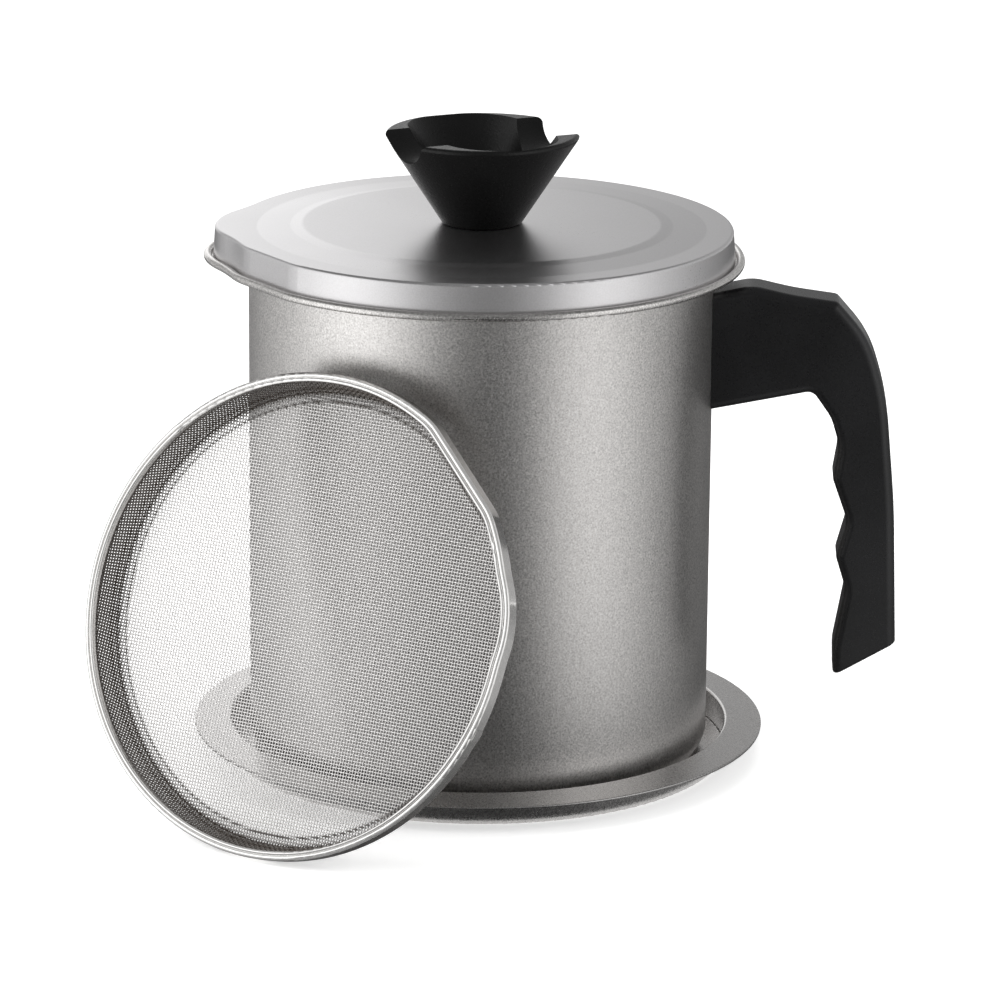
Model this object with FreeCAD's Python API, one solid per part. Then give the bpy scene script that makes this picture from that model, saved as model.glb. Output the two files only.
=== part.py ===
import FreeCAD, Part
import math
import os

# Grease keeper: a pot on its drip tray, the lid, and the strainer leaning on the pot.
# Millimetres.  +Z is up, the handle is along +X and the spout along -X.
# The origin is the centre of the tray's underside, on the table.

# Fits
stand_gap = 0.05            # under a part that stands loose on another
lid_play = 0.35             # around the lid's skirt inside the pot's collar
lean_gap = 0.3              # between the strainer's dish and the pot it leans on
screw_gap = 0.05            # around a screw and around the bracket in the grip
mesh_gap = 0.05             # between the woven dish and the folded rim

# Drip tray, pressed sheet
tray_sheet = 0.8
tray_gap = 4.8              # from the pot's wall to the tray's upright wall
tray_flange = 9.6           # from the inside of the upright wall out to the edge
tray_height = 8.55          # where wall and flange would meet if the bend were sharp
tray_flange_drop = 0.85     # the flange slopes down to its edge by this much
tray_well_bend = 0.3
tray_crown_bend = 0.7
tray_edge_round = 0.3       # on both sides of the flange's cut edge

# Pot, drawn sheet
pot_r = 59.0
pot_sheet = 0.8
pot_height = 130.1          # foot to the crest of the rolled bead
pot_corner_bend = 6.5
pot_foot_rise = 1.2         # the middle of the bottom stands this much above the foot
pot_foot_inset = 8.0        # the foot starts this much inside the wall
pot_foot_slope = 3.0        # width of the slope up to the raised middle
pot_foot_bend = 2.0
neck_bend = 1.5
shelf_start = 3.0           # the lid's shelf is flat from here outward of the pot wall
seat_depth = 1.35           # shelf below the bead's crest
collar_fillet = 0.7
bead_r = 1.05

# Mouth outline, as a lid of that outline: round, with a spout nose and one flat
mouth_reach = 5.3           # the lid's rim stands out from the pot's wall by this much
spout_direction = 180.0
spout_reach = 3.8           # nose beyond the circle
spout_r = 29.0
spout_blend_r = 60.0
flat_gap = 3.3              # degrees of plain circle between the nose and the flat
flat_dip = 0.9              # flat inside the circle
flat_corner_r = 20.0

# Lid, pressed sheet
lid_sheet = 0.6
lid_height = 8.1            # foot of the skirt to the edge plane
lid_draft = 0.5             # the skirt narrows by this much from its foot to the edge
lid_edge_bend = 0.75
lid_plain = 6.4             # width of the flat border
lid_slope = 9.5             # width of the gentle slope inside it
lid_step = 3.0              # width of the steeper step up to the centre disc
lid_slope_rise = 0.55
lid_step_rise = 0.4
lid_disc_rise = 0.1
lid_bend = 6.0
knob_seat_r = 12.0

# Knob, moulded
knob_base_r = 10.0
knob_rim_r = 25.2
knob_height = 23.3
knob_foot_round = 0.8
knob_rim_round = 0.9
channel_direction = 27.4    # of the saddle channel across the knob's top
channel_r = 13.8
channel_depth = 6.3
pocket_r = 15.2             # each of the two overlapping round pockets, at the rim
pocket_offset = 9.4         # their centres, across the channel
pocket_depth = 12.5
pocket_draft = 4.5          # by how much a pocket is narrower at its floor

# Knob fastening
insert_r = 4.5
insert_length = 6.5
insert_waist = 0.5
insert_sunk = 0.2           # insert face above the knob's foot
insert_bore_depth = 5.8
knob_screw_r = 2.5
knob_screw_length = 7.2
knob_screw_head_r = 4.8
knob_screw_head = 2.8
washer_r = 7.0
washer_thickness = 1.0

# Grip: (out from the pot wall, down from the bead's crest, rounding), in its mid-plane
grip_thickness = 13.0
grip_edge_round = 2.2
grip_end_round = 0.8
grip_corners = [
    (-2.0, 39.1, 0.0),
    (-2.0, 8.9, 0.0),
    (9.8, 6.3, 12.0),
    (20.0, 8.6, 60.0),
    (31.3, 10.1, 2.0),
    (39.5, 19.4, 30.0),
    (44.3, 34.8, 70.0),
    (47.0, 63.7, 200.0),
    (48.9, 118.8, 0.0),
    (32.7, 118.8, 0.0),
    (32.2, 101.2, 14.0),
    (35.0, 85.3, 8.0),
    (32.4, 76.9, 3.0),
    (35.0, 67.3, 6.0),
    (31.1, 56.3, 4.0),
    (32.5, 47.4, 12.0),
    (30.4, 40.4, 12.0),
    (25.5, 33.5, 2.8),
]
grip_foot_inner = (33.0, 108.5)      # the slanted cut across the grip's lower end
grip_foot_outer = (49.0, 99.2)

# Bracket on the pot and the screw that holds the grip on it
bracket_sheet = 1.2
bracket_width = 8.0
bracket_height = 24.0
bracket_drop = 22.9         # its middle, down from the bead's crest
tongue_sheet = 2.0
tongue_length = 22.0
grip_screw_out = 11.0       # screw axis out from the pot wall
grip_screw_r = 2.0
grip_screw_length = 8.0
grip_screw_head_r = 3.6
grip_screw_head = 2.4
grip_screw_drop = 27.9      # head's face, down from the bead's crest
counterbore_r = 4.1

# Strainer, in its own frame: opening up, Z along the way it faces
ring_reach = 0.8            # the rim stands out from the pot's wall by this much
ring_height = 4.2
ring_bead_r = 0.5           # the inner of the two rolls of the folded rim
ring_bead_offset = 1.8      # its centre inside the rim's outline
ring_shoulder = 1.2         # width of the outer roll and of the band under it
ring_shoulder_drop = 0.2    # the outer roll stands this much behind the bead
ring_shoulder_round = 0.7
ring_groove_round = 0.3
ring_web_top = 0.55         # bottom of the groove between the rolls, behind the crest
ring_web = 0.5
ring_leg = 0.4              # short inner leg that holds the mesh
ring_leg_height = 1.8
ring_lap_direction = -21.0  # where the ends of the band overlap
ring_lap_length = 3.0
ring_lap = 0.2
nose_direction = 8.5
nose_reach = 1.0
nose_r = 30.0
nose_blend_r = 60.0
ring_flat_gap = 10.0        # degrees of plain circle between its nose and its flat
ring_flat_dip = 1.6
ring_flat_corner_r = 18.0
mesh_sheet = 0.5
dish_depth = 9.8
dish_draft = 2.4            # the dish narrows by this much from the rim to its floor
dish_corner = 1.2

# Where the strainer leans
lean_direction = 29.0       # from -Y toward -X
lean_tilt = 20.3            # from upright

# Levels and places that follow
tray_well_r = pot_r + tray_gap
tray_r = tray_well_r + tray_flange
pot_foot_outer_r = pot_r - pot_foot_inset
pot_foot_inner_r = pot_foot_outer_r - pot_foot_slope
lid_r = pot_r + mouth_reach
lid_plain_r = lid_r - lid_plain
lid_slope_r = lid_plain_r - lid_slope
lid_disc_r = lid_slope_r - lid_step
ring_r = pot_r + ring_reach
pot_base_z = tray_sheet + stand_gap
crest_z = pot_base_z + pot_height
seat_z = crest_z - seat_depth
bead_z = crest_z - bead_r
lid_foot_z = seat_z + stand_gap
lid_edge_z = lid_foot_z + lid_height
knob_base_z = lid_edge_z + lid_slope_rise + lid_step_rise + lid_disc_rise
knob_rim_z = knob_base_z + knob_height
collar_inner = lid_play
collar_outer = lid_play + pot_sheet
bead_offset = lid_play + bead_r
bracket_mid_z = crest_z - bracket_drop
grip_screw_x = pot_r + grip_screw_out
grip_seat_z = crest_z - grip_screw_drop
mesh_outer = -(ring_shoulder + mesh_gap)
mesh_top = -(ring_web_top + ring_web + mesh_gap)
dish_floor_r = ring_r + mesh_outer - dish_draft
beyond = 1.0                # how far cutting tools run past what they cut
screw_recess = 1.0          # width of the cross recess in a screw head
quarter_turn = 90.0
half_turn = 180.0
full_turn = 360.0
level = 1e-4                # two heights closer than this are the same

pot_mouth = (lid_r, spout_direction, spout_reach, spout_r, spout_blend_r,
             flat_gap, flat_dip, flat_corner_r)
ring_mouth = (ring_r, nose_direction, nose_reach, nose_r, nose_blend_r,
              ring_flat_gap, ring_flat_dip, ring_flat_corner_r)

up = FreeCAD.Vector(0, 0, 1)
origin = FreeCAD.Vector(0, 0, 0)


def point(x, y, z):
    return FreeCAD.Vector(x, y, z)


def polar(radius, degrees, z=0.0):
    turn = math.radians(degrees)
    return point(radius * math.cos(turn), radius * math.sin(turn), z)


def cylinder(radius, bottom, top, x=0.0):
    return Part.makeCylinder(radius, top - bottom, point(x, 0, bottom))


def box(x0, x1, y0, y1, z0, z1):
    return Part.makeBox(x1 - x0, y1 - y0, z1 - z0, point(x0, y0, z0))


def join(first, *others):
    return first.multiFuse(list(others)).removeSplitter()


# Outlines with rounded corners, drawn in the XZ plane

def rounded_wire(corners):
    """Closed wire through (x, z, rounding) corners."""
    places = [point(x, 0, z) for x, z, rounding in corners]
    starts, ends, edges = [], [], []
    for i, (x, z, rounding) in enumerate(corners):
        back = (places[i - 1] - places[i]).normalize()
        ahead = (places[(i + 1) % len(places)] - places[i]).normalize()
        half = back.getAngle(ahead) / 2
        reach = rounding / math.tan(half)
        starts.append(places[i] + back * reach)
        ends.append(places[i] + ahead * reach)
        if rounding > 0:
            inward = (back + ahead).normalize()
            middle = places[i] + inward * (rounding / math.sin(half) - rounding)
            edges.append(Part.Arc(starts[i], middle, ends[i]).toShape())
    for i, end in enumerate(ends):
        start = starts[(i + 1) % len(starts)]
        edges.append(Part.makeLine(end, start))
    return Part.Wire(Part.__sortEdges__(edges))


def shifted_path(path, shift):
    """The path moved to its left by shift; its bends keep their centres."""
    moved = []
    for i, (x, z, bend) in enumerate(path):
        here = point(x, 0, z)
        sides = []
        for a, b in ((i - 1, i), (i, i + 1)):
            if 0 <= a and b < len(path):
                run = point(path[b][0] - path[a][0], 0, path[b][1] - path[a][1]).normalize()
                sides.append(point(-run.z, 0, run.x))
        first, last = sides[0], sides[-1]
        mitre = (first + last) * (shift / (1 + first.dot(last)))
        turn = math.copysign(1.0, first.x * last.z - first.z * last.x)
        rounding = max(bend - shift * turn, 0.0) if bend > 0 else 0.0
        moved.append((x + mitre.x, z + mitre.z, rounding))
    return moved


def turned_sheet(path, thickness):
    """Round shell: the path and its copy on the left, turned about Z."""
    outline = path + shifted_path(path, thickness)[::-1]
    return Part.Face(rounded_wire(outline)).revolve(origin, up, full_turn)


# Mouth outlines: a circle with a nose and a flat, and every parallel of it

def arc(centre, radius, first, last):
    ends = [centre + polar(radius, angle) for angle in (first, (first + last) / 2, last)]
    return Part.Arc(*ends).toShape()


def mouth_wire(mouth, offset, z):
    """Outline of a mouth, offset outward, anticlockwise from the nose."""
    radius, nose, reach, tip_r, blend_r, gap, dip, corner_r = mouth
    tip_at = radius + reach - tip_r
    blend_at = radius + blend_r
    span = tip_r + blend_r
    turn = math.degrees(math.acos(
        (blend_at ** 2 + tip_at ** 2 - span ** 2) / (2 * blend_at * tip_at)))
    bow = math.degrees(math.acos(
        (blend_at ** 2 + span ** 2 - tip_at ** 2) / (2 * blend_at * span)))
    corner_at = radius - corner_r
    half = math.degrees(math.acos((corner_at - dip) / corner_at))
    flat = nose + turn + gap + half
    height = point(0, 0, z)
    back = half_turn
    corners = [polar(corner_at, flat + side * half, z) for side in (-1, 1)]
    run = [c + polar(corner_r + offset, flat) for c in corners]
    edges = [
        arc(polar(blend_at, nose - turn, z), blend_r - offset,
            nose - turn + back, nose - turn + back - bow),
        arc(polar(tip_at, nose, z), tip_r + offset, nose - turn - bow, nose + turn + bow),
        arc(polar(blend_at, nose + turn, z), blend_r - offset,
            nose + turn - back + bow, nose + turn - back),
        arc(height, radius + offset, nose + turn, flat - half),
        arc(corners[0], corner_r + offset, flat - half, flat),
        Part.makeLine(run[0], run[1]),
        arc(corners[1], corner_r + offset, flat, flat + half),
        arc(height, radius + offset, flat + half, nose - turn + full_turn),
    ]
    return Part.Wire(edges)


def mouth_plate(mouth, offset, bottom, top):
    return Part.Face(mouth_wire(mouth, offset, bottom)).extrude(up * (top - bottom))


def mouth_wall(mouth, outer, inner, bottom, top):
    return mouth_plate(mouth, outer, bottom, top).cut(
        mouth_plate(mouth, inner, bottom - beyond, top + beyond))


def mouth_bead(mouth, offset, z, section_r):
    """Round bead whose centre line is the offset outline."""
    runs = []
    for edge in mouth_wire(mouth, offset, z).Edges:
        start = edge.valueAt(edge.FirstParameter)
        along = edge.tangentAt(edge.FirstParameter)
        disc = Part.Face(Part.Wire(Part.makeCircle(section_r, start, along)))
        if isinstance(edge.Curve, Part.Circle):
            angle = math.degrees(edge.LastParameter - edge.FirstParameter)
            runs.append(disc.revolve(edge.Curve.Center, edge.Curve.Axis, angle))
        else:
            runs.append(disc.extrude(edge.valueAt(edge.LastParameter) - start))
    return join(*runs)


def edges_at(shape, z):
    """Edges that lie flat at height z."""
    flat = []
    for edge in shape.Edges:
        bounds = edge.BoundBox
        if abs(bounds.ZMin - z) < level and abs(bounds.ZMax - z) < level:
            flat.append(edge)
    return flat


def on_outline(edge, offset):
    """Whether an edge lies on the parallel of the strainer's outline."""
    outline = mouth_wire(ring_mouth, offset, edge.BoundBox.ZMin)
    return outline.distToShape(Part.Vertex(edge.valueAt(edge.FirstParameter)))[0] < level


# Tray

def make_tray():
    edge_z = tray_height - tray_flange_drop
    top_skin = [
        (0.0, tray_sheet, 0.0),
        (tray_well_r, tray_sheet, tray_well_bend),
        (tray_well_r, tray_height, tray_crown_bend),
        (tray_r, edge_z, 0.0),
    ]
    tray = turned_sheet(top_skin, -tray_sheet)
    cut_edges = [edge for edge in tray.Edges
                 if edge.BoundBox.XMax > tray_r - tray_sheet and edge.BoundBox.ZLength < level]
    return tray.makeFillet(tray_edge_round, cut_edges)


# Pot

def make_pot():
    shelf_z = seat_z - pot_sheet
    shelf_r = pot_r + shelf_start
    outer_skin = [
        (0.0, pot_base_z + pot_foot_rise, 0.0),
        (pot_foot_inner_r, pot_base_z + pot_foot_rise, pot_foot_bend),
        (pot_foot_outer_r, pot_base_z, pot_foot_bend),
        (pot_r, pot_base_z, pot_corner_bend),
        (pot_r, shelf_z, neck_bend),
        (shelf_r, shelf_z, 0.0),
    ]
    drum = turned_sheet(outer_skin, pot_sheet)
    cup = mouth_plate(pot_mouth, collar_outer, shelf_z, bead_z)
    cup = cup.makeFillet(collar_fillet, edges_at(cup, shelf_z))
    cup = cup.cut(mouth_plate(pot_mouth, collar_inner, seat_z, bead_z + beyond))
    cup = cup.cut(cylinder(shelf_r, shelf_z - beyond, seat_z + beyond))
    return join(drum, cup, mouth_bead(pot_mouth, bead_offset, bead_z, bead_r))


def make_bracket():
    half_width = bracket_width / 2
    low = bracket_mid_z - bracket_height / 2
    high = bracket_mid_z + bracket_height / 2
    saddle = cylinder(pot_r + bracket_sheet, low, high)
    saddle = saddle.common(box(0, pot_r + tongue_length, -half_width, half_width, low, high))
    tongue = box(pot_r - bracket_sheet, pot_r + tongue_length, -half_width, half_width,
                 bracket_mid_z - tongue_sheet / 2, bracket_mid_z + tongue_sheet / 2)
    bracket = join(saddle, tongue).cut(cylinder(pot_r, low - beyond, high + beyond))
    hole = cylinder(grip_screw_r + screw_gap, low, high, grip_screw_x)
    return bracket.cut(hole)


def bracket_pocket():
    """Room for the bracket in the grip's inner end."""
    half_width = bracket_width / 2 + screw_gap
    low = bracket_mid_z - bracket_height / 2 - screw_gap
    high = bracket_mid_z + bracket_height / 2 + screw_gap
    plate_r = pot_r + bracket_sheet + screw_gap
    plate = cylinder(plate_r, low, high)
    plate = plate.common(box(0, plate_r, -half_width, half_width, low, high))
    half_tongue = tongue_sheet / 2 + screw_gap
    slot = box(pot_r - beyond, pot_r + tongue_length + screw_gap, -half_width, half_width,
               bracket_mid_z - half_tongue, bracket_mid_z + half_tongue)
    return plate.fuse(slot)


def grip_foot_line():
    """The two ends of the slanted cut across the grip's lower end."""
    return [point(pot_r + out, 0, crest_z - drop)
            for out, drop in (grip_foot_inner, grip_foot_outer)]


def grip_foot_waste():
    """Everything under the slanted cut."""
    inner, outer = grip_foot_line()
    along = (outer - inner) / 2
    left, right = inner - along, outer + along
    low = crest_z - max(drop for out, drop, bend in grip_corners) - beyond
    outline = Part.makePolygon([left, right, point(right.x, 0, low), point(left.x, 0, low), left])
    slab = Part.Face(outline).extrude(point(0, 2 * grip_thickness, 0))
    slab.translate(point(0, -grip_thickness, 0))
    return slab


def grip_foot_edges(grip):
    """Edges around the face of the slanted cut."""
    inner, outer = grip_foot_line()
    square = (outer - inner).cross(point(0, 1, 0)).normalize()
    chosen = []
    for edge in grip.Edges:
        heights = [abs((corner.Point - inner).dot(square)) for corner in edge.Vertexes]
        if max(heights) < level:
            chosen.append(edge)
    return chosen


def grip_blank():
    corners = [(pot_r + out, crest_z - drop, bend) for out, drop, bend in grip_corners]
    blank = Part.Face(rounded_wire(corners)).extrude(point(0, grip_thickness, 0))
    blank.translate(point(0, -grip_thickness / 2, 0))
    inner_end = min(corner[0] for corner in corners)
    low_end = min(corner[1] for corner in corners)
    long_edges = []
    for edge in blank.Edges:
        middle = edge.BoundBox.Center
        at_side = edge.BoundBox.YLength < beyond
        if at_side and middle.x > inner_end + beyond and middle.z > low_end + beyond:
            long_edges.append(edge)
    return blank.makeFillet(grip_edge_round, long_edges)


def make_grip():
    grip = grip_blank().cut(grip_foot_waste())
    grip = grip.makeFillet(grip_end_round, grip_foot_edges(grip))
    grip = grip.cut(cylinder(pot_r + screw_gap, grip.BoundBox.ZMin, lid_edge_z))
    grip = grip.cut(bracket_pocket())
    low = grip.BoundBox.ZMin
    head_room = cylinder(counterbore_r, low, grip_seat_z, grip_screw_x)
    tip_z = grip_seat_z + grip_screw_length + beyond
    shank_room = cylinder(grip_screw_r + screw_gap, low, tip_z, grip_screw_x)
    return grip.cut(head_room).cut(shank_room)


def upright_screw(x, seat, shank_r, length, head_r, head):
    """Pan-head screw with its head under the seat and its shank up."""
    pan = cylinder(head_r, seat - head, seat, x)
    pan = pan.makeFillet(head / 2, edges_at(pan, seat - head))
    shank = cylinder(shank_r, seat - beyond, seat + length, x)
    shank = shank.makeChamfer(shank_r / 4, edges_at(shank, seat + length))
    screw = join(pan, shank)
    half = screw_recess / 2
    arm = head_r / 2
    floor = seat - head / 2
    screw = screw.cut(box(x - arm, x + arm, -half, half, seat - head - beyond, floor))
    return screw.cut(box(x - half, x + half, -arm, arm, seat - head - beyond, floor))


def make_grip_screw():
    return upright_screw(grip_screw_x, grip_seat_z, grip_screw_r, grip_screw_length,
                         grip_screw_head_r, grip_screw_head)


# Lid

def lid_block(offset, bottom, top, bend):
    """Solid of a skin of the skirt, narrowing upward, with its upper edge rounded."""
    lean = lid_draft / lid_height
    wires = [mouth_wire(pot_mouth, offset - lean * (z - lid_foot_z), z) for z in (bottom, top)]
    block = Part.makeLoft(wires, True, True)
    return block.makeFillet(bend, edges_at(block, top))


def make_lid():
    under_z = lid_edge_z - lid_sheet
    cover = lid_block(0.0, lid_foot_z, lid_edge_z, lid_edge_bend)
    cover = cover.cut(lid_block(-lid_sheet, lid_foot_z - beyond, under_z, lid_edge_bend - lid_sheet))
    cover = cover.cut(cylinder(lid_plain_r, lid_foot_z, lid_edge_z + beyond))
    slope_z = lid_edge_z + lid_slope_rise
    crown = [
        (knob_screw_r + screw_gap, knob_base_z, 0.0),
        (knob_seat_r, knob_base_z, lid_bend),
        (lid_disc_r, slope_z + lid_step_rise, lid_bend),
        (lid_slope_r, slope_z, lid_bend),
        (lid_plain_r - beyond, lid_edge_z, lid_bend),
        (lid_plain_r, lid_edge_z, 0.0),
    ]
    return join(cover, turned_sheet(crown, -lid_sheet))


def insert_blank():
    """The threaded insert without its bore: a round plug with a waist."""
    bottom = knob_base_z + insert_sunk
    top = bottom + insert_length
    third = insert_length / 3
    waist = cylinder(insert_r + beyond, bottom + third, top - third)
    waist = waist.cut(cylinder(insert_r - insert_waist, bottom, top))
    return cylinder(insert_r, bottom, top).cut(waist)


def make_insert():
    bottom = knob_base_z + insert_sunk
    bore = cylinder(knob_screw_r + screw_gap, bottom - beyond, bottom + insert_bore_depth)
    return insert_blank().cut(bore)


def knob_pocket():
    """Two tapered round pockets side by side across the channel."""
    floor = knob_rim_z - pocket_depth
    across = channel_direction + quarter_turn
    rise = pocket_depth + beyond
    mouth_r = pocket_r + pocket_draft * beyond / pocket_depth
    pockets = []
    for side in (-1, 1):
        centre = polar(side * pocket_offset, across, floor)
        drift = polar(side * pocket_draft, across)
        low = Part.makeCircle(pocket_r - pocket_draft, centre - drift, up)
        high = Part.makeCircle(mouth_r, centre + point(0, 0, rise), up)
        pockets.append(Part.makeLoft([Part.Wire(low), Part.Wire(high)], True, True))
    return pockets[0].fuse(pockets[1])


def knob_channel():
    """Round-bottomed channel across the knob's top."""
    axis_z = knob_rim_z - channel_depth + channel_r
    start = polar(-2 * knob_rim_r, channel_direction, axis_z)
    return Part.makeCylinder(channel_r, 4 * knob_rim_r, start, polar(1, channel_direction))


def make_knob():
    outline = [
        (0.0, knob_base_z, 0.0),
        (knob_base_r, knob_base_z, knob_foot_round),
        (knob_rim_r, knob_rim_z, knob_rim_round),
        (0.0, knob_rim_z, 0.0),
    ]
    knob = Part.Face(rounded_wire(outline)).revolve(origin, up, full_turn)
    knob = knob.cut(knob_channel()).cut(knob_pocket())
    socket = cylinder(insert_r, knob_base_z - beyond, knob_base_z + insert_sunk)
    return knob.cut(insert_blank()).cut(socket)


def make_washer():
    top = knob_base_z - lid_sheet
    ring = cylinder(washer_r, top - washer_thickness, top)
    return ring.cut(cylinder(knob_screw_r + screw_gap, seat_z, knob_base_z))


def make_knob_screw():
    seat = knob_base_z - lid_sheet - washer_thickness
    return upright_screw(0.0, seat, knob_screw_r, knob_screw_length,
                         knob_screw_head_r, knob_screw_head)


# Strainer

def leaning(shape):
    """From the strainer's own frame to where it leans on the pot."""
    tilt = math.radians(lean_tilt)
    corner_depth = dish_depth + mesh_sheet
    out = (pot_r + lean_gap + dish_floor_r * math.sin(tilt)
           + corner_depth * math.cos(tilt))
    centre_z = ring_r * math.cos(tilt) + ring_height * math.sin(tilt) + stand_gap
    placed = shape.copy()
    placed.rotate(origin, point(1, 0, 0), quarter_turn - lean_tilt)
    placed.rotate(origin, up, -lean_direction)
    placed.translate(polar(out, -quarter_turn - lean_direction, centre_z))
    return placed


def make_ring():
    bead = mouth_bead(ring_mouth, -ring_bead_offset, -ring_bead_r, ring_bead_r)
    crest = -ring_shoulder_drop
    band = mouth_plate(ring_mouth, 0.0, -ring_height, crest)
    band = band.makeFillet(ring_shoulder_round, edges_at(band, crest))
    band = band.cut(mouth_plate(ring_mouth, -ring_shoulder, -ring_height - beyond, beyond))
    inner_rim = [edge for edge in edges_at(band, crest)
                 if on_outline(edge, -ring_shoulder)]
    band = band.makeFillet(ring_groove_round, inner_rim)
    leg_outer = mesh_outer - mesh_sheet - mesh_gap
    web = mouth_wall(ring_mouth, -ring_shoulder, leg_outer - ring_leg,
                     -ring_web_top - ring_web, -ring_web_top)
    leg = mouth_wall(ring_mouth, leg_outer, leg_outer - ring_leg,
                     -ring_leg_height, -ring_web_top)
    lap = mouth_wall(ring_mouth, ring_lap, -ring_lap, -ring_height, -ring_shoulder)
    slab = box(0, 2 * ring_r, 0, ring_lap_length, -ring_height, 0)
    slab.rotate(origin, up, ring_lap_direction)
    return leaning(join(bead, band, web, leg, lap.common(slab)))


def dish_body(outer, floor_z, corner):
    """Solid of a skin of the dish, from the rim down to its floor."""
    straight = mouth_plate(ring_mouth, outer, -ring_height, mesh_top)
    wires = [mouth_wire(ring_mouth, outer, -ring_height),
             mouth_wire(ring_mouth, outer - dish_draft, floor_z)]
    drafted = Part.makeLoft(wires, True, True)
    drafted = drafted.makeFillet(corner, edges_at(drafted, floor_z))
    return join(straight, drafted)


def make_mesh():
    floor_z = -dish_depth - mesh_sheet
    outside = dish_body(mesh_outer, floor_z, dish_corner + mesh_sheet)
    inside = dish_body(mesh_outer - mesh_sheet, floor_z + mesh_sheet, dish_corner)
    return leaning(outside.cut(inside))


pieces = {
    "coaster_tray": make_tray,
    "pot_body": make_pot,
    "handle_bracket": make_bracket,
    "handle_grip": make_grip,
    "handle_screw": make_grip_screw,
    "lid_cover": make_lid,
    "lid_knob": make_knob,
    "knob_insert": make_insert,
    "knob_washer": make_washer,
    "knob_screw": make_knob_screw,
    "strainer_rim": make_ring,
    "strainer_mesh": make_mesh,
}

os.makedirs("parts", exist_ok=True)
for name, make in pieces.items():
    solid = make()
    solid.exportStep("parts/" + name + ".step")
    print(name, solid.ShapeType, len(solid.Solids), "valid" if solid.isValid() else "NOT VALID",
          round(solid.Volume, 1))
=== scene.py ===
import math
import bpy
import numpy as np
from mathutils import Matrix, Vector


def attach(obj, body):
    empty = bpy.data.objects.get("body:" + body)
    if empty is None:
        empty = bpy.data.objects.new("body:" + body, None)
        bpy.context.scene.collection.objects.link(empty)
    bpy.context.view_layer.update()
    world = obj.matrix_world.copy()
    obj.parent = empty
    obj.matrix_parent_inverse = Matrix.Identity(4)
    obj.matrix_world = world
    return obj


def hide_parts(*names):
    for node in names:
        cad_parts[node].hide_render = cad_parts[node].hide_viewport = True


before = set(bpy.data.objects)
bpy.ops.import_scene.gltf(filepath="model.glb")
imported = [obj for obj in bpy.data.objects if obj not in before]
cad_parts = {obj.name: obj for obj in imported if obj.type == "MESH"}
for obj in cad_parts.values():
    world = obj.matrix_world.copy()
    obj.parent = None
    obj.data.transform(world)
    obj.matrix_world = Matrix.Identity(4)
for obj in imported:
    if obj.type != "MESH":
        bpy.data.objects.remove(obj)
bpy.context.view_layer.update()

mm = 0.001
tiny = 1e-9
print("grease keeper: frame loaded,", len(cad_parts), "nodes")


# small helpers

def deselectAll():
    if bpy.context.object and bpy.context.object.mode != "OBJECT":
        bpy.ops.object.mode_set(mode="OBJECT")
    bpy.ops.object.select_all(action="DESELECT")


def pick(piece):
    deselectAll()
    piece.select_set(True)
    bpy.context.view_layer.objects.active = piece


def selectVerts(piece, chosen):
    # chosen is an array of booleans, one per vertex; leaves the piece in edit mode
    pick(piece)
    mesh = piece.data
    mesh.polygons.foreach_set("select", np.zeros(len(mesh.polygons), bool))
    mesh.edges.foreach_set("select", np.zeros(len(mesh.edges), bool))
    mesh.vertices.foreach_set("select", chosen)
    bpy.ops.object.mode_set(mode="EDIT")
    bpy.ops.mesh.select_mode(type="VERT")


def selectEdges(piece, chosen):
    # the same for edges, one boolean per edge
    selectVerts(piece, np.zeros(len(piece.data.vertices), bool))
    bpy.ops.mesh.select_mode(type="EDGE")
    bpy.ops.object.mode_set(mode="OBJECT")
    piece.data.edges.foreach_set("select", chosen)
    bpy.ops.object.mode_set(mode="EDIT")


def vertsOf(piece):
    places = np.empty(len(piece.data.vertices) * 3)
    piece.data.vertices.foreach_get("co", places)
    return places.reshape(-1, 3)


def combine(tree, operation, first, second):
    # maths on two sockets, or on a socket and a number
    sums = tree.nodes.new("ShaderNodeMath")
    sums.operation = operation
    tree.links.new(first, sums.inputs[0])
    if isinstance(second, bpy.types.NodeSocket):
        tree.links.new(second, sums.inputs[1])
    else:
        sums.inputs[1].default_value = second
    return sums.outputs[0]


def mixColours(tree, factor, first, second):
    # each of the two is a colour or a socket
    mix = tree.nodes.new("ShaderNodeMix")
    mix.data_type = "RGBA"
    tree.links.new(factor, mix.inputs["Factor"])
    for socket, colour in (("A", first), ("B", second)):
        if isinstance(colour, bpy.types.NodeSocket):
            tree.links.new(colour, mix.inputs[socket])
        else:
            mix.inputs[socket].default_value = colour
    return mix.outputs["Result"]


# camera

cameraView = {
    "distance": 1.3,  # metres from the pot's axis, along the floor
    "height": 0.43235,
    "side": 2.4,  # degrees round from straight in front, towards the handle
    "pitch": 15.747,
    "yaw": 0.229,
    "roll": 0.498,
    "lens": 189.387,
    "sensor": 36,
    "clipEnd": 50,
}


def placeCamera(view):
    side = math.radians(view["side"])
    bpy.ops.object.camera_add()
    camera = bpy.context.object
    camera.name = "mainCamera"
    turn = Matrix.Rotation(side - math.radians(view["yaw"]), 4, "Z")
    dip = Matrix.Rotation(math.radians(90 - view["pitch"]), 4, "X")
    roll = Matrix.Rotation(math.radians(view["roll"]), 4, "Z")
    place = Vector((math.sin(side) * view["distance"], -math.cos(side) * view["distance"], view["height"]))
    camera.matrix_world = Matrix.Translation(place) @ turn @ dip @ roll
    camera.data.lens = view["lens"]
    camera.data.sensor_width = view["sensor"]
    camera.data.clip_end = view["clipEnd"]
    bpy.context.scene.camera = camera


# studio: floor, world, soft boxes, and cards that only reflections see

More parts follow.
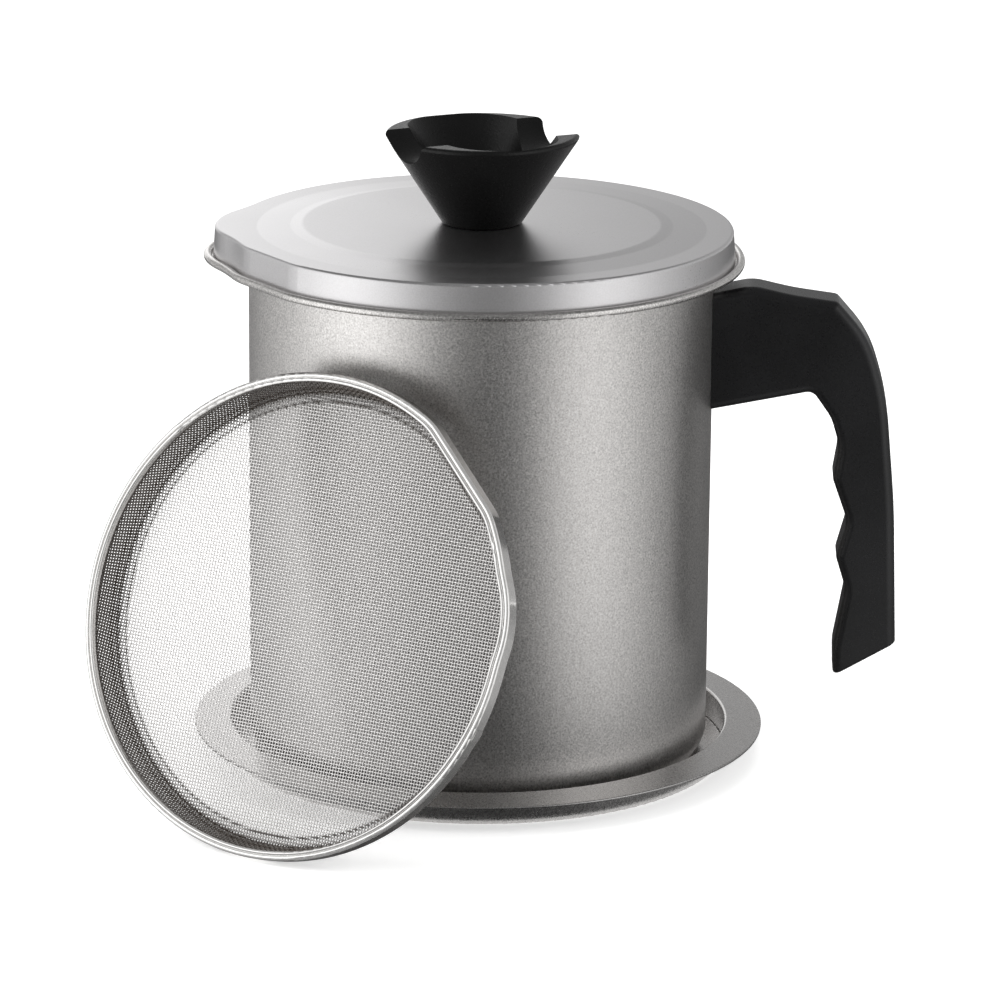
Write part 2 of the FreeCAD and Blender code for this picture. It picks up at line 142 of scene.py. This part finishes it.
studio = {
    "floorSize": 12.0,
    "floorColour": (0.90, 0.90, 0.895, 1),
    "floorGlow": 0.45,  # added where the camera, a reflection or glass looks at the floor
    "worldDiffuse": 0.60,
    "worldSeen": 1.0,
    "aimHeight": 0.08,
    # name, way round from straight in front (right is positive), distance, height of its middle,
    # width, height, watts
    "softboxes": [
        ("keyLeft", -62, 0.9, 0.50, 0.5, 0.9, 9.0),
        ("fillRight", 58, 1.0, 0.50, 0.4, 0.9, 6.0),
        ("topLight", 180, 0.35, 1.3, 1.0, 0.9, 5.0),
    ],
}


def around(degrees, distance, height):
    angle = math.radians(degrees + cameraView["side"])
    return Vector((math.sin(angle) * distance, -math.cos(angle) * distance, height))


def seenRays(tree):
    # 1 where the camera, a reflection or a view through glass looks, otherwise 0
    rays = tree.nodes.new("ShaderNodeLightPath").outputs
    direct = combine(tree, "MAXIMUM", rays["Is Camera Ray"], rays["Is Glossy Ray"])
    return combine(tree, "MAXIMUM", direct, rays["Is Transmission Ray"])


def buildFloor(look):
    deselectAll()
    bpy.ops.mesh.primitive_plane_add(size=look["floorSize"])
    floor = bpy.context.object
    floor.name = "studioFloor"
    paper = bpy.data.materials.new("floorPaper")
    paper.use_nodes = True
    tree = paper.node_tree
    shader = tree.nodes["Principled BSDF"]
    shader.inputs["Base Color"].default_value = look["floorColour"]
    shader.inputs["Roughness"].default_value = 1.0
    shader.inputs["Specular IOR Level"].default_value = 0.0
    shader.inputs["Emission Color"].default_value = (1, 1, 1, 1)
    glow = combine(tree, "MULTIPLY", seenRays(tree), look["floorGlow"])
    tree.links.new(glow, shader.inputs["Emission Strength"])
    floor.data.materials.append(paper)


def buildWorld(look):
    world = bpy.data.worlds.new("whiteRoom")
    bpy.context.scene.world = world
    world.use_nodes = True
    tree = world.node_tree
    background = tree.nodes["Background"]
    background.inputs["Color"].default_value = (1, 1, 1, 1)
    level = tree.nodes.new("ShaderNodeMapRange")
    level.inputs["To Min"].default_value = look["worldDiffuse"]
    level.inputs["To Max"].default_value = look["worldSeen"]
    tree.links.new(seenRays(tree), level.inputs["Value"])
    tree.links.new(level.outputs["Result"], background.inputs["Strength"])


def addSoftboxes(look):
    for name, degrees, distance, height, width, tall, watts in look["softboxes"]:
        deselectAll()
        bpy.ops.object.light_add(type="AREA", location=around(degrees, distance, height))
        lamp = bpy.context.object
        lamp.name = name
        lamp.data.shape = "RECTANGLE"
        lamp.data.size = width
        lamp.data.size_y = tall
        lamp.data.energy = watts
        lamp.visible_glossy = False  # reflections come from the cards
        aim = Vector((0, 0, look["aimHeight"])) - lamp.location
        lamp.rotation_euler = aim.to_track_quat("-Z", "Y").to_euler()


tableCard = {
    "inner": 0.067, "radius": 1.1, "height": 0.0006, "sides": 96, "glow": 1.4,
    # the way round from straight in front, and how bright a reflection of it is
    "tones": [(-180, 0.05), (-158, 0.10), (-142, 0.15), (-127, 0.28), (-112, 0.34), (-100, 0.44),
              (-86, 0.66), (-73, 0.86), (-61, 1.0), (-50, 0.94), (-39, 0.73), (-24, 0.30),
              (-9, 0.07), (6, 0.01), (21, 0.14), (36, 0.52), (52, 0.72), (62, 0.60),
              (75, 0.43), (88, 0.27), (112, 0.14), (132, 0.10), (160, 0.05), (180, 0.05)],
    "fadeBy": "distance", "plain": 0.03,
    # share of the radius, and how much the tones count there against the plain one
    "fade": [(0.06, 0.1), (0.08, 0.25), (0.16, 0.75), (0.32, 1.0)],
}

domeCard = {
    "radius": 1.5, "bottom": -0.01, "sides": 96, "rings": 48, "glow": 1.4,
    "tones": [(-180, 0.57), (-172, 0.93), (-156, 0.75), (-140, 0.3), (-100, 0.5), (-73, 0.8),
              (-61, 0.9), (-42, 0.62), (-20, 0.2), (6, 0.08), (24, 0.2), (52, 0.75),
              (70, 0.66), (95, 0.42), (120, 0.32), (150, 0.32), (172, 0.30), (180, 0.45)],
    "fadeBy": "height", "plain": 0.15,
    "fade": [(0.0, 1.0), (0.45, 1.0), (0.8, 0.0)],
}


def toneRamp(tree, along, stops):
    # grey ramp through (place, tone) stops, smoothly joined
    ramp = tree.nodes.new("ShaderNodeValToRGB")
    ramp.color_ramp.interpolation = "EASE"
    marks = ramp.color_ramp.elements
    while len(marks) > 1:
        marks.remove(marks[-1])
    for at, (place, tone) in enumerate(stops):
        mark = marks[0] if at == 0 else marks.new(place)
        mark.position = place
        mark.color = (tone, tone, tone, 1)
    tree.links.new(along, ramp.inputs["Fac"])
    return ramp.outputs["Color"]


def wayRound(tree, spot):
    # 0 to 1 once round the pot's axis, with a half straight in front
    turn = tree.nodes.new("ShaderNodeMapping")
    turn.inputs["Rotation"].default_value = (0, 0, math.radians(90 - cameraView["side"]))
    radial = tree.nodes.new("ShaderNodeTexGradient")
    radial.gradient_type = "RADIAL"
    tree.links.new(spot, turn.inputs["Vector"])
    tree.links.new(turn.outputs["Vector"], radial.inputs["Vector"])
    return radial.outputs["Fac"]


def wayAlong(tree, spot, card):
    # 0 to 1 up the dome, or out along the table
    along = tree.nodes.new("ShaderNodeVectorMath")
    along.operation = "DOT_PRODUCT" if card["fadeBy"] == "height" else "LENGTH"
    along.inputs[1].default_value = (0, 0, 1)
    tree.links.new(spot, along.inputs[0])
    return combine(tree, "DIVIDE", along.outputs["Value"], card["radius"])


def reflectorPaint(name, card):
    # brightness by the way round, fading along the card into a plain tone
    glowing = bpy.data.materials.new(name + "Paint")
    glowing.use_nodes = True
    tree = glowing.node_tree
    tree.nodes.remove(tree.nodes["Principled BSDF"])
    spot = tree.nodes.new("ShaderNodeTexCoord").outputs["Object"]
    stops = [(0.5 + degrees / 360, tone) for degrees, tone in card["tones"]]
    tones = toneRamp(tree, wayRound(tree, spot), stops)
    share = toneRamp(tree, wayAlong(tree, spot, card), card["fade"])
    plain = (card["plain"], card["plain"], card["plain"], 1)
    light = tree.nodes.new("ShaderNodeEmission")
    light.inputs["Strength"].default_value = card["glow"]
    tree.links.new(mixColours(tree, share, plain, tones), light.inputs["Color"])
    tree.links.new(light.outputs[0], tree.nodes["Material Output"].inputs["Surface"])
    return glowing


def onlyReflected(card, glowing):
    card.data.materials.append(glowing)
    card.visible_camera = False
    card.visible_diffuse = False
    card.visible_shadow = False
    card.visible_transmission = False


def buildTableCard():
    deselectAll()
    bpy.ops.mesh.primitive_circle_add(vertices=tableCard["sides"], radius=tableCard["radius"],
                                      fill_type="NGON")
    table = bpy.context.object
    table.name = "tableCard"
    bpy.ops.object.mode_set(mode="EDIT")
    bpy.ops.mesh.inset(thickness=tableCard["radius"] - tableCard["inner"])
    bpy.ops.mesh.delete(type="FACE")
    bpy.ops.object.mode_set(mode="OBJECT")
    table.location.z = tableCard["height"]
    onlyReflected(table, reflectorPaint("tableCard", tableCard))


def buildDomeCard():
    deselectAll()
    bpy.ops.mesh.primitive_uv_sphere_add(segments=domeCard["sides"], ring_count=domeCard["rings"],
                                         radius=domeCard["radius"])
    dome = bpy.context.object
    dome.name = "domeCard"
    selectVerts(dome, vertsOf(dome)[:, 2] < domeCard["bottom"])
    bpy.ops.mesh.delete(type="VERT")
    bpy.ops.object.mode_set(mode="OBJECT")
    bpy.ops.object.shade_smooth()
    onlyReflected(dome, reflectorPaint("domeCard", domeCard))


bpy.context.scene.view_settings.view_transform = "Standard"
placeCamera(cameraView)
buildFloor(studio)
buildWorld(studio)
addSoftboxes(studio)
buildTableCard()
buildDomeCard()
print("studio ready")


# finishes

def newFinish(name, settings):
    finish = bpy.data.materials.new(name)
    finish.use_nodes = True
    shader = finish.node_tree.nodes["Principled BSDF"]
    for socket, value in settings["shader"].items():
        shader.inputs[socket].default_value = value
    spot = finish.node_tree.nodes.new("ShaderNodeTexCoord").outputs["Object"]
    return finish, finish.node_tree, shader, spot


def addNoise(tree, spot, scale, detail, rough):
    noise = tree.nodes.new("ShaderNodeTexNoise")
    noise.inputs["Scale"].default_value = scale
    noise.inputs["Detail"].default_value = detail
    noise.inputs["Roughness"].default_value = rough
    tree.links.new(spot, noise.inputs["Vector"])
    return noise.outputs["Fac"]


def remap(tree, source, low, high, fromLow=0.3, fromHigh=0.7):
    # noise hardly leaves the middle of its range, so that is what is spread by default
    change = tree.nodes.new("ShaderNodeMapRange")
    change.inputs["From Min"].default_value = fromLow
    change.inputs["From Max"].default_value = fromHigh
    change.inputs["To Min"].default_value = low
    change.inputs["To Max"].default_value = high
    tree.links.new(source, change.inputs["Value"])
    return change.outputs["Result"]


def addBump(tree, shader, height, settings):
    bump = tree.nodes.new("ShaderNodeBump")
    bump.inputs["Strength"].default_value = settings["bump"]
    bump.inputs["Distance"].default_value = settings["bumpDepth"]
    tree.links.new(height, bump.inputs["Height"])
    tree.links.new(bump.outputs["Normal"], shader.inputs["Normal"])


def speckledCoat(name, settings):
    # pearl grey coating: fine bright and dark flecks over steel
    finish, tree, shader, spot = newFinish(name, settings)
    fleck = addNoise(tree, spot, settings["fleckScale"], detail=3.0, rough=0.7)
    cloud = addNoise(tree, spot, settings["cloudScale"], detail=2.0, rough=0.5)
    colour = mixColours(tree, remap(tree, fleck, 0, 1), settings["dark"], settings["light"])
    tree.links.new(colour, shader.inputs["Base Color"])
    smudge = remap(tree, cloud, -settings["smudge"], settings["smudge"])
    rough = combine(tree, "ADD", remap(tree, fleck, *settings["roughness"]), smudge)
    if "rubbed" in settings:
        height = tree.nodes.new("ShaderNodeSeparateXYZ")
        tree.links.new(spot, height.inputs[0])
        rubbed = remap(tree, height.outputs["Z"], 0, settings["rubbed"], *settings["rubbedOver"])
        rough = combine(tree, "SUBTRACT", rough, rubbed)
    tree.links.new(rough, shader.inputs["Roughness"])
    addBump(tree, shader, fleck, settings)
    return finish


def mouldedPlastic(name, settings):
    finish, tree, shader, spot = newFinish(name, settings)
    grain = addNoise(tree, spot, settings["grainScale"], detail=2.0, rough=0.6)
    cloud = addNoise(tree, spot, settings["cloudScale"], detail=2.0, rough=0.5)
    colour = mixColours(tree, remap(tree, cloud, 0, 1), settings["dark"], settings["light"])
    tree.links.new(colour, shader.inputs["Base Color"])
    tree.links.new(remap(tree, grain, *settings["roughness"]), shader.inputs["Roughness"])
    addBump(tree, shader, grain, settings)
    return finish


def bareMetal(name, settings):
    finish, tree, shader, spot = newFinish(name, settings)
    haze = addNoise(tree, spot, settings["hazeScale"], detail=3.0, rough=0.6)
    colour = mixColours(tree, remap(tree, haze, 0, 1), settings["dark"], settings["light"])
    # painted reflection: the colour darkens where the surface is seen edge on
    if "edge" in settings:
        facing = tree.nodes.new("ShaderNodeLayerWeight").outputs["Facing"]
        paintedEdgeReflection = remap(tree, facing, 0, 1, *settings["edgeOver"])
        colour = mixColours(tree, paintedEdgeReflection, colour, settings["edge"])
    tree.links.new(colour, shader.inputs["Base Color"])
    tree.links.new(remap(tree, haze, *settings["roughness"]), shader.inputs["Roughness"])
    addBump(tree, shader, haze, settings)
    return finish


def drawnWire(name, settings):
    # bright wire, with painted shade where the cloth is creased, on the wall and where a wire dips under
    # another (the mesh says where)
    finish, tree, shader, spot = newFinish(name, settings)
    haze = addNoise(tree, spot, settings["hazeScale"], detail=3.0, rough=0.6)
    bright = mixColours(tree, remap(tree, haze, 0, 1), settings["dark"], settings["light"])
    creaseAndPaintedShade = tree.nodes.new("ShaderNodeAttribute")
    creaseAndPaintedShade.attribute_name = "creaseAndPaintedShade"
    colour = mixColours(tree, creaseAndPaintedShade.outputs["Fac"], bright, settings["paintedShadeColour"])
    tree.links.new(colour, shader.inputs["Base Color"])
    tree.links.new(remap(tree, haze, *settings["roughness"]), shader.inputs["Roughness"])
    return finish


finishes = {
    "potCoat": (speckledCoat, {
        "shader": {"Metallic": 1.0},
        "fleckScale": 2100, "cloudScale": 26,
        "dark": (0.47, 0.458, 0.447, 1), "light": (1.0, 0.978, 0.957, 1),
        "roughness": (0.28, 0.42), "smudge": 0.015, "bump": 0.42, "bumpDepth": 0.08 * mm,
        "rubbed": 0.16, "rubbedOver": (129.0 * mm, 130.0 * mm),  # the rolled rim is smoother
    }),
    "trayCoat": (speckledCoat, {
        "shader": {"Metallic": 1.0},
        "fleckScale": 2100, "cloudScale": 30,
        "dark": (0.44, 0.43, 0.425, 1), "light": (0.74, 0.725, 0.715, 1),
        "roughness": (0.22, 0.33), "smudge": 0.015, "bump": 0.25, "bumpDepth": 0.06 * mm,
    }),
    "lidCoat": (speckledCoat, {
        "shader": {"Metallic": 1.0},
        "fleckScale": 2600, "cloudScale": 30,
        "dark": (0.71, 0.70, 0.703, 1), "light": (0.81, 0.80, 0.81, 1),
        "roughness": (0.28, 0.33), "smudge": 0.012, "bump": 0.08, "bumpDepth": 0.04 * mm,
    }),
    "gripPlastic": (mouldedPlastic, {
        "shader": {"Specular IOR Level": 0.5},
        "grainScale": 2200, "cloudScale": 60,
        "dark": (0.004, 0.004, 0.0045, 1), "light": (0.007, 0.007, 0.0078, 1),
        "roughness": (0.26, 0.36), "bump": 0.12, "bumpDepth": 0.03 * mm,
    }),
    "knobPlastic": (mouldedPlastic, {
        "shader": {"Specular IOR Level": 0.32},
        "grainScale": 1500, "cloudScale": 80,
        "dark": (0.002, 0.002, 0.002, 1), "light": (0.004, 0.004, 0.004, 1),
        "roughness": (0.26, 0.38), "bump": 0.7, "bumpDepth": 0.10 * mm,
    }),
    "polishedSteel": (bareMetal, {
        "shader": {"Metallic": 0.85},
        "hazeScale": 900,
        "dark": (0.90, 0.89, 0.875, 1), "light": (0.97, 0.96, 0.945, 1),
        # painted reflection: dark lines on the polished steel where it is seen edge on
        "edge": (0.12, 0.11, 0.10, 1), "edgeOver": (0.40, 0.80),  # darker where it is seen edge on
        "roughness": (0.07, 0.13), "bump": 0.05, "bumpDepth": 0.03 * mm,
    }),
    "wireSteel": (drawnWire, {
        "shader": {"Metallic": 0.4},
        "hazeScale": 1500,
        "dark": (0.88, 0.865, 0.855, 1), "light": (0.99, 0.975, 0.965, 1),
        # dark brown painted shade for the creases, the wall and wires that dip under others
        "paintedShadeColour": (0.045, 0.033, 0.024, 1),
        "roughness": (0.22, 0.34),
    }),
    "platedSteel": (bareMetal, {
        "shader": {"Metallic": 1.0},
        "hazeScale": 700,
        "dark": (0.52, 0.52, 0.53, 1), "light": (0.66, 0.66, 0.68, 1),
        "roughness": (0.28, 0.40), "bump": 0.1, "bumpDepth": 0.03 * mm,
    }),
    "turnedBrass": (bareMetal, {
        "shader": {"Metallic": 1.0},
        "hazeScale": 700,
        "dark": (0.62, 0.45, 0.18, 1), "light": (0.80, 0.62, 0.30, 1),
        "roughness": (0.25, 0.36), "bump": 0.1, "bumpDepth": 0.03 * mm,
    }),
}

madeFinish = {name: maker(name, settings) for name, (maker, settings) in finishes.items()}

nodeFinish = {
    "coaster_tray": "trayCoat",
    "pot_body": "potCoat",
    "lid_cover": "lidCoat",
    "handle_grip": "gripPlastic",
    "lid_knob": "knobPlastic",
    "strainer_rim": "polishedSteel",
    "strainer_mesh": "wireSteel",
    "handle_bracket": "platedSteel",
    "handle_screw": "platedSteel",
    "knob_washer": "platedSteel",
    "knob_screw": "platedSteel",
    "knob_insert": "turnedBrass",
}


def giveFinish(piece, name):
    piece.data.materials.clear()
    piece.data.materials.append(madeFinish[name])


for node, name in nodeFinish.items():
    giveFinish(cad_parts[node], name)
print("finishes on", len(nodeFinish), "nodes")


# strainer cloth

cloth = {
    "pitch": 0.8 * mm,
    "wireRadius": 0.16 * mm,
    "sides": 4,
    "lift": 0.13 * mm,  # how far a wire stands over and under the middle at a crossing
    "wires": 164,  # each way
    "edge": 9.3 * mm,  # cloth beyond the floor's edge that is pressed up into the wall
    "mergeWithin": 0.016 * mm,
}

dish = {
    "radius": 55.9 * mm,  # floor edge, middle of the cloth
    "floor": -10.05 * mm,
    "slopeRun": 2.4 * mm,  # how far the drafted wall opens, and how high it goes
    "slopeRise": 5.85 * mm,
    "bend": 1.2 * mm,
    "ridgeIn": 2.7 * mm,  # pressed ring just inside the floor's edge
    "ridgeWidth": 0.5 * mm,
    "ridgeHeight": 0.4 * mm,
    "noseAngle": 8.5,  # the corner that fits the pot's spout
    "noseRadius": 26.1 * mm,
    "noseAt": 30.8 * mm,
    "flatAngle": 47.0,  # and the flat beside it
    "flatDip": 1.6 * mm,
}

# painted shade on the strainer's wires: darker on the wall, in the creases and where a wire dips under
# another; flatten widens the wires in a crease
shade = {
    "wall": 0.85,
    # painted shade bands: where from the floor's edge, how wide, how dark
    "paintedCreaseShades": [(0.5 * mm, 1.4 * mm, 1.0), (-2.2 * mm, 0.35 * mm, 0.85)],
    "flatten": 0.75,  # how much wider a wire is pressed in a crease
    "dipFrom": 0.10 * mm,  # a wire that dips under another is shaded from this height down
    "dip": 0.16 * mm,
}

lean = {
    "direction": 29.0,
    "tilt": 20.3,
    "centre": (-42.88 * mm, -77.35 * mm, 57.59 * mm),
}


def beyondEdge(spots, shape):
    # how far each spot is beyond the dish floor's edge, and which way is out
    flat = spots[:, :2]
    fromMiddle = np.linalg.norm(flat, axis=1)
    out = flat / np.maximum(fromMiddle, tiny)[:, None]
    past = fromMiddle - shape["radius"]
    nose = math.radians(shape["noseAngle"])
    noseMiddle = np.array([math.cos(nose), math.sin(nose)]) * shape["noseAt"]
    fromNose = flat - noseMiddle
    noseDistance = np.linalg.norm(fromNose, axis=1)
    pastNose = noseDistance - shape["noseRadius"]
    inNose = (pastNose < past) & (flat @ noseMiddle > 0)
    past = np.where(inNose, pastNose, past)
    out = np.where(inNose[:, None], fromNose / np.maximum(noseDistance, tiny)[:, None], out)
    side = math.radians(shape["flatAngle"])
    flatOut = np.array([math.cos(side), math.sin(side)])
    pastFlat = flat @ flatOut - (shape["radius"] - shape["flatDip"])
    onFlat = pastFlat > past
    past = np.where(onFlat, pastFlat, past)
    out = np.where(onFlat[:, None], flatOut, out)
    return past, out


def creaseAndPaintedShadeBy(past, bend):
    # how creased the cloth is, and how much painted shade it gets, by how far it is beyond the edge
    creaseAndPaintedShade = np.clip((past - bend) / bend, 0, 1) * shade["wall"]
    for place, width, depth in shade["paintedCreaseShades"]:
        creaseAndPaintedShade += depth * np.exp(-((past - place) / width) ** 2)
    return creaseAndPaintedShade


def pressIntoDish(piece, shape, across, pitch):
    # flat cloth to dish: the floor stays, what lies beyond its edge is turned up into the wall
    spots = vertsOf(piece)
    past, out = beyondEdge(spots, shape)
    bend = shape["bend"]
    creaseAndPaintedShade = creaseAndPaintedShadeBy(past, bend)
    middle = np.rint(spots[:, across] / pitch) * pitch  # of the wire, which is pressed flat in a crease
    spots[:, across] = middle + (spots[:, across] - middle) * (1 + shade["flatten"] * np.clip(creaseAndPaintedShade, 0, 1))
    slant = math.hypot(shape["slopeRun"], shape["slopeRise"])
    onSlope = np.clip(past, 0, slant)
    corner = np.clip((past + bend) / (2 * bend), 0, 1)
    eased = np.where(np.abs(past) < bend, bend * corner ** 2, onSlope)
    run = eased * shape["slopeRun"] / slant + np.minimum(past, 0)
    rise = eased * shape["slopeRise"] / slant + np.maximum(past - slant, 0)
    ridge = shape["ridgeHeight"] * np.exp(-((past + shape["ridgeIn"]) / shape["ridgeWidth"]) ** 2)
    shift = np.where(past > -bend, run - past, 0)
    lifted = spots[:, 2].copy()
    wall = np.clip(past / bend, 0, 1)[:, None]  # on the wall the weave's own thickness turns to face inward
    spots[:, :2] += out * shift[:, None] - out * lifted[:, None] * wall
    spots[:, 2] = lifted * (1 - wall[:, 0]) + shape["floor"] + rise + ridge
    piece.data.vertices.foreach_set("co", spots.ravel())
    piece.data.update()
    # painted shade where a wire dips under another, added to the crease shade and kept on the mesh
    creaseAndPaintedShade += np.clip((shade["dipFrom"] - lifted) / shade["dip"], 0, 1)
    shading = piece.data.attributes.new("creaseAndPaintedShade", "FLOAT", "POINT")
    shading.data.foreach_set("value", np.clip(creaseAndPaintedShade, 0, 1))


def leanOnPot(piece):
    turn = Matrix.Rotation(math.radians(-lean["direction"]), 4, "Z")
    tip = Matrix.Rotation(math.radians(90 - lean["tilt"]), 4, "X")
    piece.matrix_world = Matrix.Translation(Vector(lean["centre"])) @ turn @ tip
    pick(piece)
    bpy.ops.object.transform_apply(location=True, rotation=True, scale=True)


def bentWire(name, weave):
    # two pitches of one open wire, along X: over at the middle, under at both ends
    pitch = weave["pitch"]
    deselectAll()
    bpy.ops.mesh.primitive_cylinder_add(vertices=weave["sides"], radius=weave["wireRadius"],
                                        depth=2 * pitch, end_fill_type="NOTHING",
                                        rotation=(0, math.radians(90), 0))
    wire = bpy.context.object
    wire.name = name
    bpy.ops.object.transform_apply(location=True, rotation=True, scale=True)
    along = vertsOf(wire)[:, 0]
    lengthwise = [abs(along[start] - along[end]) > pitch for start, end in wire.data.edge_keys]
    selectEdges(wire, np.array(lengthwise))
    bpy.ops.mesh.subdivide(number_cuts=1)
    bpy.ops.object.mode_set(mode="OBJECT")
    middle = np.abs(vertsOf(wire)[:, 0]) < pitch / 2
    for chosen, way in ((middle, 1), (~middle, -1)):
        selectVerts(wire, chosen)
        bpy.ops.transform.translate(value=(0, 0, way * weave["lift"]))
        bpy.ops.object.mode_set(mode="OBJECT")
    return wire


def repeat(piece, label, times, step, mergeWithin=None):
    copies = piece.modifiers.new(label, "ARRAY")
    copies.count = times
    copies.use_relative_offset = False
    copies.use_constant_offset = True
    copies.constant_offset_displace = step
    if mergeWithin:
        copies.use_merge_vertices = True
        copies.merge_threshold = mergeWithin
    bpy.ops.object.modifier_apply(modifier=label)


def trimRound(piece, weave):
    # whole rings of a wire go, so that each end that is left can be closed
    past = beyondEdge(np.rint(vertsOf(piece) / weave["pitch"]) * weave["pitch"], dish)[0]
    selectVerts(piece, past > weave["edge"])
    bpy.ops.mesh.delete(type="VERT")
    bpy.ops.mesh.select_all(action="SELECT")
    bpy.ops.mesh.fill_holes(sides=weave["sides"])
    bpy.ops.object.mode_set(mode="OBJECT")


def weaveWires(name, turned, row, weave):
    # every second wire of one direction of the cloth
    pitch, half = weave["pitch"], weave["wires"] // 2
    wires = bentWire(name, weave)
    repeat(wires, "along", half, (2 * pitch, 0, 0), weave["mergeWithin"])
    repeat(wires, "beside", half, (0, 2 * pitch, 0))
    over = 1 - (row + turned) % 2  # the crossing, of each two, where these wires go over
    wires.location = ((over - half) * pitch, (row - half) * pitch, 0)
    bpy.ops.object.transform_apply(location=True, rotation=False, scale=False)
    if turned:
        wires.rotation_euler.z = math.radians(90)
        bpy.ops.object.transform_apply(location=False, rotation=True, scale=False)
    trimRound(wires, weave)
    pressIntoDish(wires, dish, 0 if turned else 1, pitch)
    bpy.ops.object.shade_smooth()
    leanOnPot(wires)
    giveFinish(wires, "wireSteel")
    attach(wires, "strainer")
    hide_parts("strainer_mesh")


for name, turned, row in (("strainerWarpEven", False, 0), ("strainerWarpOdd", False, 1),
                          ("strainerWeftEven", True, 0), ("strainerWeftOdd", True, 1)):
    weaveWires(name, turned, row, cloth)
print("strainer cloth woven")
